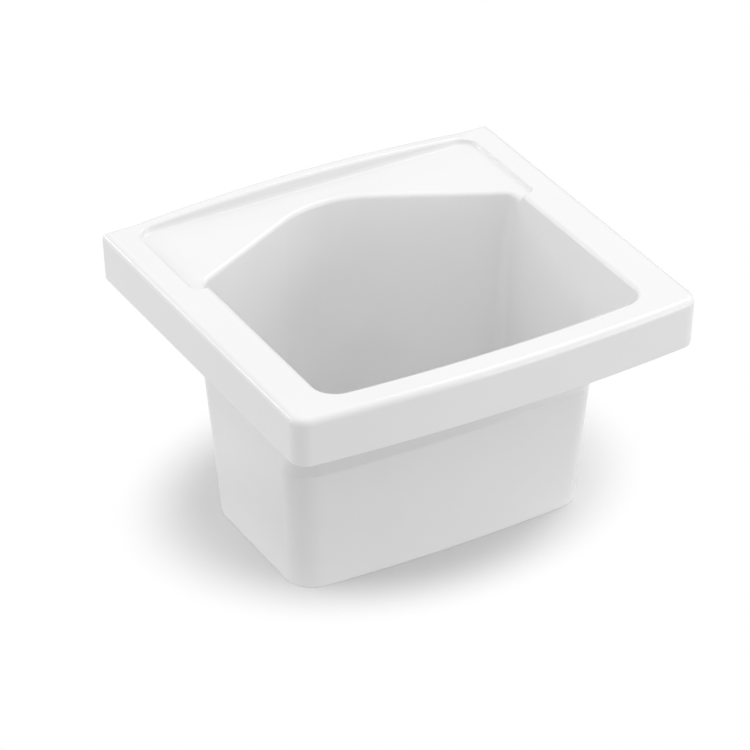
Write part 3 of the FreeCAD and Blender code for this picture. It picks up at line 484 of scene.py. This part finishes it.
def side_shares():
    """Shares of the straight side, from front to back, with a point for each one of the ledge's step."""
    _, corner_y = bowed_front(OPENING_HALF, OPENING_FRONT, BASIN_BOW, FRONT_ROUND)
    back_y = side_round_level(OPENING_HALF, OPENING_APEX, SIDE_ROUND)
    step = (-LEDGE_FRONT - STEP[:, 0] - corner_y) / (back_y - corner_y)
    before = step[0] * shares(SIDE_FORE_STEPS)
    after = step[-1] + (1 - step[-1]) * shares(SIDE_REAR_STEPS)[1:]
    return np.concatenate([before, step, after])


SIDE_SHARES = side_shares()
STEP_FIRST = BOW_STEPS + CORNER_STEPS + SIDE_FORE_STEPS
STEP_LAST = STEP_FIRST + len(STEP) - 1


def basin_outline(half, front, corner, apex, apex_round, side_round):
    """Right half of the basin's plan, from the middle of the front to the middle of the back.

    Bow, corner, straight side, round, diagonal and apex arc, each tangent to the next. Sizes are columns with
    a row for each level. The result holds x, y and the angle of the outward normal, level by point.
    """
    fore, corner_y = bowed_front(half, front, BASIN_BOW, corner)
    side_y = side_round_level(half, apex, side_round)
    square = QUARTER - DIAGONAL
    side = run(half, corner_y + (side_y - corner_y) * SIDE_SHARES, 0.0)
    bend = arc(half - side_round, side_y, side_round, 0, square, shares(SIDE_ROUND_STEPS))
    apex_y = -(apex + apex_round / np.cos(DIAGONAL))
    crown = arc(0 * half, apex_y, apex_round, square, QUARTER, np.linspace(0, 1, APEX_STEPS))
    start = arc(half - side_round, side_y, side_round, 0, square, np.ones(1))
    diagonal = start + (crown[:, :1] - start) * shares(DIAGONAL_STEPS)[:, None]
    return np.concatenate([*fore, side, bend, diagonal, crown], axis=1)


def rim_outline(half, front, bow, corner, back, back_round, back_x):
    """Right half of the rim's plan: bow, front corner, side, back corner and back, from front to back."""
    fore, corner_y = bowed_front(half, front, bow, corner)
    rear = -(back + back_round)
    side = run(half, corner_y + (rear - corner_y) * shares(RIM_SIDE_STEPS), 0.0)
    bend = arc(half - back_round, rear, back_round, 0, QUARTER, np.linspace(0, 1, RIM_BACK_STEPS))
    gap = half - back_round + (back_x[0] - half + back_round) * shares(RIM_GAP_STEPS)[1:]
    line = run(np.concatenate([gap, back_x + 0 * half], axis=1), -back, QUARTER)
    return np.concatenate([*fore, side, bend, line], axis=1)


def apron_outline(side_in, back_in, back_round, back_x):
    """Plan of the rim moved in at its sides and front, and by another distance at its back."""
    return rim_outline(
        RIM_HALF - side_in,
        RIM_DEPTH - side_in,
        RIM_BOW - side_in,
        RIM_CORNER - side_in,
        back_in,
        back_round,
        back_x,
    )


def ledge_outline():
    """Right half of the ledge's plan: front corner, from just beyond the lip, side, back corner and back."""
    front, back = column(LEDGE_FRONT_ROUND - LEDGE_FRONT), column(-LEDGE_BACK - LEDGE_BACK_ROUND)
    front_x, back_x = LEDGE_HALF - LEDGE_FRONT_ROUND, LEDGE_HALF - LEDGE_BACK_ROUND
    start = LEDGE_FRONT_START - QUARTER
    front_bend = arc(front_x, front, LEDGE_FRONT_ROUND, start, 0, shares(LEDGE_FRONT_STEPS))
    side = run(LEDGE_HALF, front + (back - front) * shares(LEDGE_SIDE_STEPS), 0.0)
    back_bend = arc(back_x, back, LEDGE_BACK_ROUND, 0, QUARTER, shares(LEDGE_ROUND_STEPS))
    line = run(back_x * (1 - np.linspace(0, 1, LEDGE_LINE_STEPS)), column(-LEDGE_BACK), QUARTER)
    return np.concatenate([front_bend, side, back_bend, line], axis=1)


LEDGE_BACK_FIRST = LEDGE_FRONT_STEPS + LEDGE_SIDE_STEPS


def arch(x):
    """Top of the raised edge: level at its ends, a long arc between, and a blend where they meet."""
    full = (ARCH_HALF**2 + ARCH_RISE**2) / (2 * ARCH_RISE)
    long_round = full - ARCH_BLEND
    meet = long_round * ARCH_HALF / full
    far = np.minimum(np.abs(x), ARCH_HALF)
    crown = RIM_LEVEL + ARCH_RISE - long_round + np.sqrt(long_round**2 - far**2)
    blend = RIM_LEVEL + ARCH_BLEND - np.sqrt(np.maximum(ARCH_BLEND**2 - (ARCH_HALF - far) ** 2, 0))
    return np.where(far < meet, crown, blend)


def edge_round(radius, lean, steps):
    """Round edge between a level top and a wall: distance out from their corner and up from the top.

    The wall's outward normal points down by the lean. The centre lies at out = -r (1 + sin lean) / cos lean
    and up = -r, and the arc turns from straight up to the wall's normal.
    """
    turn = QUARTER - (QUARTER + lean) * np.linspace(0, 1, steps)[:, None]
    out = radius * (np.cos(turn) - (1 + np.sin(lean)) / np.cos(lean))
    return out, radius * (np.sin(turn) - 1)


def lift(outline, level):
    """Points in space from a plan and its levels, with y measured from the back face."""
    return np.stack(np.broadcast_arrays(outline[..., 0], outline[..., 1], level), axis=-1)


def offset(outline, out):
    """Plan moved out along its normals."""
    moved = np.array(np.broadcast_to(outline, (*np.broadcast_shapes(outline.shape[:-1], np.shape(out)), 3)))
    moved[..., 0] += out * np.cos(outline[..., 2])
    moved[..., 1] += out * np.sin(outline[..., 2])
    return moved


def bend_levels(foot_level, radius):
    """Levels of the round edge between the slope and the steep wall below it, from low to high."""
    turn = radius * math.tan((SLOPE - STEEP) / 2)
    centre = foot_level - turn * math.cos(STEEP) - radius * math.sin(STEEP)
    return centre + radius * np.sin(np.linspace(STEEP, SLOPE, BEND_STEPS))


def bent_front(level, foot_level, foot_front, radius):
    """Front of a wall at a level: a slope above, a steep wall below, and an arc between them.

    The planes meet at the foot's level and front. The arc touches both, and its centre lies before them.
    """
    low, high = bend_levels(foot_level, radius)[[0, -1]]
    centre = low - radius * np.sin(STEEP)
    centre_front = foot_front + (low - foot_level) * np.tan(STEEP) + radius * np.cos(STEEP)
    sloping = foot_front + (level - foot_level) * np.tan(SLOPE)
    steep = foot_front + (level - foot_level) * np.tan(STEEP)
    bend = centre_front - np.sqrt(radius**2 - (np.clip(level, low, high) - centre) ** 2)
    return np.where(level > high, sloping, np.where(level < low, steep, bend))


SLOPE_FRONT = OPENING_FRONT - (RIM_LEVEL - SLOPE_FOOT) * math.tan(SLOPE)


def inner_front(level):
    return bent_front(level, SLOPE_FOOT, SLOPE_FRONT, SLOPE_ROUND)


def inside(level):
    """Plan of the basin's inside at each level."""
    depth = RIM_LEVEL - level
    half = OPENING_HALF - depth * SIDE_LEAN
    apex = OPENING_APEX + depth * BACK_LEAN
    return basin_outline(half, inner_front(level), FRONT_ROUND + 0 * level, apex, APEX_ROUND, SIDE_ROUND)


def outer_kink():
    """Level and front of the bend in the body's outside.

    The inside's slope and steep wall, each moved out by the wall's thickness, would meet a little higher. The
    bend is set lower, down the steep wall, and the slope starts from it.
    """
    gap = FRONT_WALL / math.cos(SLOPE) - FRONT_WALL / math.cos(STEEP)
    drop = gap / (math.tan(SLOPE) - math.tan(STEEP)) + BODY_BEND_LOW
    return SLOPE_FOOT - drop, SLOPE_FRONT + FRONT_WALL / math.cos(STEEP) - drop * math.tan(STEEP)


def outer_front(level):
    return bent_front(level, *outer_kink(), BODY_ROUND)


def outside(level, inset):
    """Plan of the body's outside at each level, moved in by an inset."""
    depth = RIM_LEVEL - level
    side = SIDE_WALL - inset
    back = BACK_WALL - inset
    half = OPENING_HALF + side - depth * SIDE_LEAN
    apex = OPENING_APEX + depth * BODY_BACK_LEAN - back / np.cos(DIAGONAL)
    front = outer_front(level) - inset
    return basin_outline(half, front, FRONT_ROUND + side, apex, APEX_ROUND + back, SIDE_ROUND + side)


def wall_lean(upper, lower, drop):
    """Lean of a wall from its plans at two levels: how far it moves in along the normal on the way down."""
    normal = np.stack([np.cos(upper[..., 2]), np.sin(upper[..., 2])], axis=-1)
    return np.arctan(((upper - lower)[..., :2] * normal).sum(axis=-1) / drop)


def ceramic_half():
    """Right half of the sink's skin: grids of points and level faces, with y measured from the back face."""
    grids, plates = [], []

    # Opening: the lip goes from the rim down the ledge's step to the ledge
    rim_plan, ledge_plan = inside(column(RIM_LEVEL, LEDGE_LEVEL))
    lean = wall_lean(rim_plan, ledge_plan, RIM_LEVEL - LEDGE_LEVEL)
    top = np.full(len(rim_plan), LEDGE_LEVEL)
    top[:STEP_FIRST] = RIM_LEVEL
    top[STEP_FIRST:STEP_LAST + 1] = STEP[:, 1]
    down = ((RIM_LEVEL - top) / (RIM_LEVEL - LEDGE_LEVEL))[:, None]
    corner = rim_plan + (ledge_plan - rim_plan) * down
    out, up = edge_round(LIP, -lean, LIP_STEPS)
    lip = lift(offset(corner, -out), top + up)
    grids.append(lip)

    # Inside: walls, the round edge of the slope, the floor's round edge
    bend = bend_levels(SLOPE_FOOT, SLOPE_ROUND)[::-1]
    levels = np.concatenate([
        np.linspace(WALL_HEAD, bend[0] + BEND_CLEAR, WALL_STEPS[0]),
        bend,
        np.linspace(bend[-1] - BEND_CLEAR, WALL_FOOT, WALL_STEPS[1]),
    ])[:, None]
    wall = lift(inside(levels), levels)
    foot, above = inside(column(FLOOR_LEVEL, FLOOR_LEVEL + LEAN_RISE))
    floor_lean = wall_lean(above, foot, LEAN_RISE)
    turn = floor_lean + (QUARTER - floor_lean) * np.linspace(0, 1, ARC_STEPS)[:, None]
    reach = FLOOR_ROUND * ((1 - np.sin(floor_lean)) / np.cos(floor_lean) - np.cos(turn))
    floor_edge = lift(offset(foot, -reach), FLOOR_LEVEL + FLOOR_ROUND * (1 - np.sin(turn)))

    # Floor, dish, seat and drain hole: circles about the drain's axis
    skirt_levels = column(SKIRT_ROOF, 0.0)
    skirt = lift(outside(skirt_levels, SKIRT_WALL), skirt_levels)
    angle = np.arctan2(skirt[0, :, 1] + DRAIN_FROM_BACK, skirt[0, :, 0])
    rings = np.array([DISH, SEAT_EDGE, SEAT, SEAT_HOLE, HOLE_FOOT])[:, None, :]
    ring_x = rings[..., 0] * np.cos(angle)
    ring_y = rings[..., 0] * np.sin(angle) - DRAIN_FROM_BACK
    drain = np.stack(np.broadcast_arrays(ring_x, ring_y, rings[..., 1]), axis=-1)

    # Foot and outside of the body, up to the underside of the rim
    foot_out, foot_up = edge_round(FOOT_EDGE, -math.atan(SIDE_LEAN), ARC_STEPS)
    foot_level = -foot_up
    foot_inset = -foot_out
    foot_round = lift(outside(0 * foot_level, foot_inset), foot_level)
    bend = bend_levels(outer_kink()[0], BODY_ROUND)
    body_levels = np.concatenate([
        np.linspace(BODY_FOOT, bend[0] - BEND_CLEAR, BODY_STEPS[0]),
        bend,
        np.linspace(bend[-1] + BEND_CLEAR, PLATE_FOOT, BODY_STEPS[1]),
    ])[:, None]
    body = lift(outside(body_levels, 0 * body_levels), body_levels)
    grids.append(np.concatenate([lip[-1:], wall, floor_edge, drain, skirt, foot_round, body]))

    # Step of the ledge, which starts on the lip
    flat = ledge_outline()
    head = arch(flat[0, :, 0] + STEP_HEAD * np.cos(flat[0, :, 2]))
    head[:LEDGE_BACK_FIRST] = RIM_LEVEL
    profile = step_profile(head[:, None])
    sides = lift(offset(flat, profile[..., 0].T), profile[..., 1].T)
    step = np.concatenate([lip[0, STEP_FIRST:STEP_LAST + 1][:, None], sides], axis=1)
    grids.append(step)
    back_x = step[0, LEDGE_BACK_FIRST + 1:, 0]

    # Rim: round edge, apron, the apron's foot and the hollow behind it
    side_out, side_up = edge_round(RIM_EDGE, APRON_LEAN, EDGE_STEPS)
    back_out, back_up = edge_round(RIM_EDGE, 0.0, EDGE_STEPS)
    edge_plan = apron_outline(-side_out, -back_out, np.maximum(BACK_CORNER + back_out, 0), back_x)
    at_back = np.clip(edge_plan[0, :, 2] / QUARTER, 0, 1)
    crest = np.where(at_back == 1, arch(edge_plan[0, :, 0]), RIM_LEVEL)
    edge = lift(edge_plan, crest + side_up * (1 - at_back) + back_up * at_back)
    depth = column(*APRON_DEPTHS)
    apron_plan = apron_outline(depth * math.tan(APRON_LEAN), 0 * depth, BACK_CORNER, back_x)
    apron = lift(apron_plan, RIM_LEVEL - depth)
    foot_in = (RIM_LEVEL - APRON_FOOT) * math.tan(APRON_LEAN)
    side_out, side_up = edge_round(APRON_EDGE, -APRON_LEAN, ARC_STEPS)
    back_out, back_up = edge_round(APRON_EDGE, 0.0, ARC_STEPS)
    foot_out = side_out * (1 - at_back) + back_out * at_back
    foot_up = side_up * (1 - at_back) + back_up * at_back
    foot_plan = apron_outline(column(foot_in), column(0.0), BACK_CORNER, back_x)
    apron_foot = lift(offset(foot_plan, foot_out[::-1]), APRON_FOOT - foot_up[::-1])
    hollow_plan = rim_outline(
        column(RIM_HALF - foot_in - APRON_WALL),
        RIM_DEPTH - foot_in - APRON_WALL,
        RIM_BOW,
        HOLLOW_CORNER,
        APRON_WALL,
        0.0,
        back_x,
    )
    hollow = lift(hollow_plan, column(APRON_FOOT, PLATE_FOOT))
    grids.append(np.concatenate([edge, apron, apron_foot, hollow]))

    # Level faces, and the top of the raised edge
    raised = len(back_x)
    grids.append(np.stack([edge[0, -raised:], step[0, -raised:]]))
    plates.append(np.concatenate([edge[0, :1 - raised], step[0, -raised::-1], lip[0, :STEP_FIRST][::-1]]))
    plates.append(np.concatenate([step[-1], lip[0, STEP_LAST + 1:][::-1]]))
    plates.append(np.concatenate([hollow[-1], body[-1, ::-1]]))
    return grids, plates


def ceramic_mesh(name, back_y):
    """Skin of the sink: the right half and its mirror image, joined into one closed shell."""
    grids, plates = ceramic_half()
    points, faces, first = [], [], 0
    for grid in grids:
        rows, columns = grid.shape[:2]
        corner = first + np.arange(rows - 1)[:, None] * columns + np.arange(columns - 1)
        quads = np.stack([corner, corner + 1, corner + columns + 1, corner + columns], axis=-1)
        faces += quads.reshape(-1, 4).tolist()
        points.append(grid.reshape(-1, 3))
        first += rows * columns
    for plate in plates:
        faces.append(list(range(first, first + len(plate))))
        points.append(plate)
        first += len(plate)
    half = np.concatenate(points) + (0, back_y, 0)
    mirrored = [[first + corner for corner in face] for face in faces]
    mesh = bpy.data.meshes.new(name)
    mesh.from_pydata(np.concatenate([half, half * (-1, 1, 1)]).tolist(), [], faces + mirrored)
    shell = bmesh.new()
    shell.from_mesh(mesh)
    bmesh.ops.remove_doubles(shell, verts=shell.verts, dist=JOIN)
    bmesh.ops.dissolve_degenerate(shell, edges=shell.edges, dist=JOIN)
    bmesh.ops.recalc_face_normals(shell, faces=shell.faces)
    shell.to_mesh(mesh)
    shell.free()
    return mesh


def joined_copy(node_name, name):
    """Mesh of a solid with its facets joined."""
    mesh = nodes[node_name].data.copy()
    mesh.name = name
    shell = bmesh.new()
    shell.from_mesh(mesh)
    bmesh.ops.remove_doubles(shell, verts=shell.verts, dist=JOIN)
    shell.to_mesh(mesh)
    shell.free()
    return mesh


def smooth_piece(node_name, name, mesh):
    """Piece in place of a solid, shaded smooth between its sharp edges."""
    piece = bpy.data.objects.new(name, mesh)
    scene.collection.objects.link(piece)
    mesh.shade_smooth()
    mesh.set_sharp_from_angle(angle=math.radians(SHARP_ANGLE))
    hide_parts(node_name)
    return piece


def even_shading(piece):
    """Shades each corner by the faces round it in proportion to their areas, so flats stay flat."""
    weighted = piece.modifiers.new("even_shading", "WEIGHTED_NORMAL")
    weighted.keep_sharp = True
    weighted.weight = AREA_WEIGHT


def cut_plates(piece):
    """Cuts wide level faces into well-shaped triangles, with the shading left as it is."""
    cut = piece.modifiers.new("cut_plates", "TRIANGULATE")
    cut.ngon_method = "BEAUTY"
    cut.min_vertices = PLATE_CORNERS
    cut.keep_custom_normals = True


def dress(piece, material, body):
    piece.data.materials.clear()
    piece.data.materials.append(material)
    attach(piece, body)


def seen_directly(tree):
    """Light path mask: 1 for what is seen, in a mirror or through glass too, and 0 for bounced light."""
    path = tree.nodes.new("ShaderNodeLightPath")
    mirrored = add_node(tree, "ShaderNodeMath", operation="MAXIMUM")
    tree.links.new(path.outputs["Is Camera Ray"], mirrored.inputs[0])
    tree.links.new(path.outputs["Is Glossy Ray"], mirrored.inputs[1])
    through = add_node(tree, "ShaderNodeMath", operation="MAXIMUM")
    tree.links.new(mirrored.outputs[0], through.inputs[0])
    tree.links.new(path.outputs["Is Transmission Ray"], through.inputs[1])
    return through.outputs[0]


def foot_oval(tree):
    """Distance on the floor from the middle of the foot, in shares of an oval about as large as the foot."""
    place = tree.nodes.new("ShaderNodeTexCoord")
    shift = add_node(tree, "ShaderNodeVectorMath", operation="SUBTRACT")
    shift.inputs[1].default_value = FOOT_MIDDLE
    share = add_node(tree, "ShaderNodeVectorMath", operation="DIVIDE")
    share.inputs[1].default_value = FOOT_HALF
    reach = add_node(tree, "ShaderNodeVectorMath", operation="LENGTH")
    tree.links.new(place.outputs["Object"], shift.inputs[0])
    tree.links.new(shift.outputs["Vector"], share.inputs[0])
    tree.links.new(share.outputs["Vector"], reach.inputs[0])
    return reach.outputs["Value"]


def floor():
    """Floor with painted shade by the foot, a painted white glow away from it and painted bounce light by it;
    it takes the object's shadow too.
    """
    corners = FLOOR_HALF * np.array([(-1, -1, 0), (1, -1, 0), (1, 1, 0), (-1, 1, 0)], float)
    mesh = bpy.data.meshes.new("floor")
    mesh.from_pydata(corners.tolist(), [], [(0, 1, 2, 3)])
    ground = bpy.data.objects.new("floor", mesh)
    scene.collection.objects.link(ground)
    material, tree, shader = new_material("floor_painted_shade")
    oval = foot_oval(tree)
    seen = seen_directly(tree)
    # Painted light: the floor is painted a darker shade by the foot and glows plain white away from it
    white = smooth_mask(tree, oval, *FLOOR_GLOW_SPAN)
    painted_shade = tint_by(tree, white, (FLOOR_PAINTED_SHADE, FLOOR_PAINTED_SHADE, FLOOR_PAINTED_SHADE), (0, 0, 0))
    near, far = FLOOR_PAINTED_BOUNCE
    # Painted light: the floor throws more light back by the foot than away from it
    painted_bounce = tint_by(tree, smooth_mask(tree, oval, *FLOOR_BOUNCE_FADE), (near, near, near), (far, far, far))
    tone = add_node(tree, "ShaderNodeMix", data_type="RGBA")
    tree.links.new(seen, tone.inputs["Factor"])
    tree.links.new(painted_bounce, tone.inputs[COLOUR_FIRST])
    tree.links.new(painted_shade, tone.inputs[COLOUR_SECOND])
    tree.links.new(tone.outputs[COLOUR_OUT], shader.inputs["Base Color"])
    # Painted light: the glow that makes the floor plain white away from the foot
    glow = add_node(tree, "ShaderNodeMath", operation="MULTIPLY")
    tree.links.new(seen, glow.inputs[0])
    tree.links.new(white, glow.inputs[1])
    tree.links.new(glow.outputs[0], shader.inputs["Emission Strength"])
    shader.inputs["Emission Color"].default_value = (1, 1, 1, 1)
    shader.inputs["Roughness"].default_value = 1.0
    shader.inputs["Specular IOR Level"].default_value = 0.0
    mesh.materials.append(material)


def sky():
    """Dome of light: one strength at the horizon, another overhead, and less low down in one corner.

    Strength = (horizon + (top - horizon) z) (1 - dim s(d . w)), with d the direction, w the dim corner's and
    s a smooth step.
    """
    world = bpy.data.worlds.new("studio")
    scene.world = world
    world.use_nodes = True
    tree = world.node_tree
    tree.nodes.clear()
    output = tree.nodes.new("ShaderNodeOutputWorld")
    shade = tree.nodes.new("ShaderNodeBackground")
    tree.links.new(shade.outputs["Background"], output.inputs["Surface"])
    place = tree.nodes.new("ShaderNodeTexCoord")
    split = tree.nodes.new("ShaderNodeSeparateXYZ")
    tree.links.new(place.outputs["Generated"], split.inputs["Vector"])
    upward = tree.nodes.new("ShaderNodeMapRange")
    tree.links.new(split.outputs["Z"], upward.inputs["Value"])
    upward.inputs["To Min"].default_value = SKY_HORIZON
    upward.inputs["To Max"].default_value = SKY_TOP
    facing = add_node(tree, "ShaderNodeVectorMath", operation="DOT_PRODUCT")
    tree.links.new(place.outputs["Generated"], facing.inputs[0])
    facing.inputs[1].default_value = SKY_DIM_WAY
    corner = add_node(tree, "ShaderNodeMapRange", interpolation_type="SMOOTHSTEP")
    tree.links.new(facing.outputs["Value"], corner.inputs["Value"])
    corner.inputs["From Min"].default_value = SKY_DIM_FROM
    corner.inputs["To Min"].default_value = 1.0
    corner.inputs["To Max"].default_value = 1.0 - SKY_DIM
    strength = add_node(tree, "ShaderNodeMath", operation="MULTIPLY")
    tree.links.new(upward.outputs["Result"], strength.inputs[0])
    tree.links.new(corner.outputs["Result"], strength.inputs[1])
    tree.links.new(strength.outputs[0], shade.inputs["Strength"])


def softboxes():
    for name, (place, target, (wide, deep), power) in SOFTBOXES.items():
        lamp = bpy.data.lights.new(name, "AREA")
        lamp.shape = "RECTANGLE"
        lamp.size = wide
        lamp.size_y = deep
        lamp.energy = power
        holder = bpy.data.objects.new(name, lamp)
        holder.location = place
        holder.rotation_euler = (Vector(target) - Vector(place)).to_track_quat("-Z", "Y").to_euler()
        scene.collection.objects.link(holder)


scene.view_settings.view_transform = "Standard"
aim_camera()
sky()
softboxes()
floor()
mottle = mottle_group()
turned = turned_group()
finishes = {"ceramic": glaze(mottle)}
for slot, look in METALS.items():
    finishes[slot] = turned_metal(turned, mottle, *look)
for slot, look in MOULDINGS.items():
    finishes[slot] = moulded(mottle, *look)

for node_name, (name, body, slot) in PIECES.items():
    formed = node_name == "sink_basin"
    mesh = ceramic_mesh(name, BACK_Y) if formed else joined_copy(node_name, name)
    piece = smooth_piece(node_name, name, mesh)
    even_shading(piece)
    cut_plates(piece)
    dress(piece, finishes[slot], body)
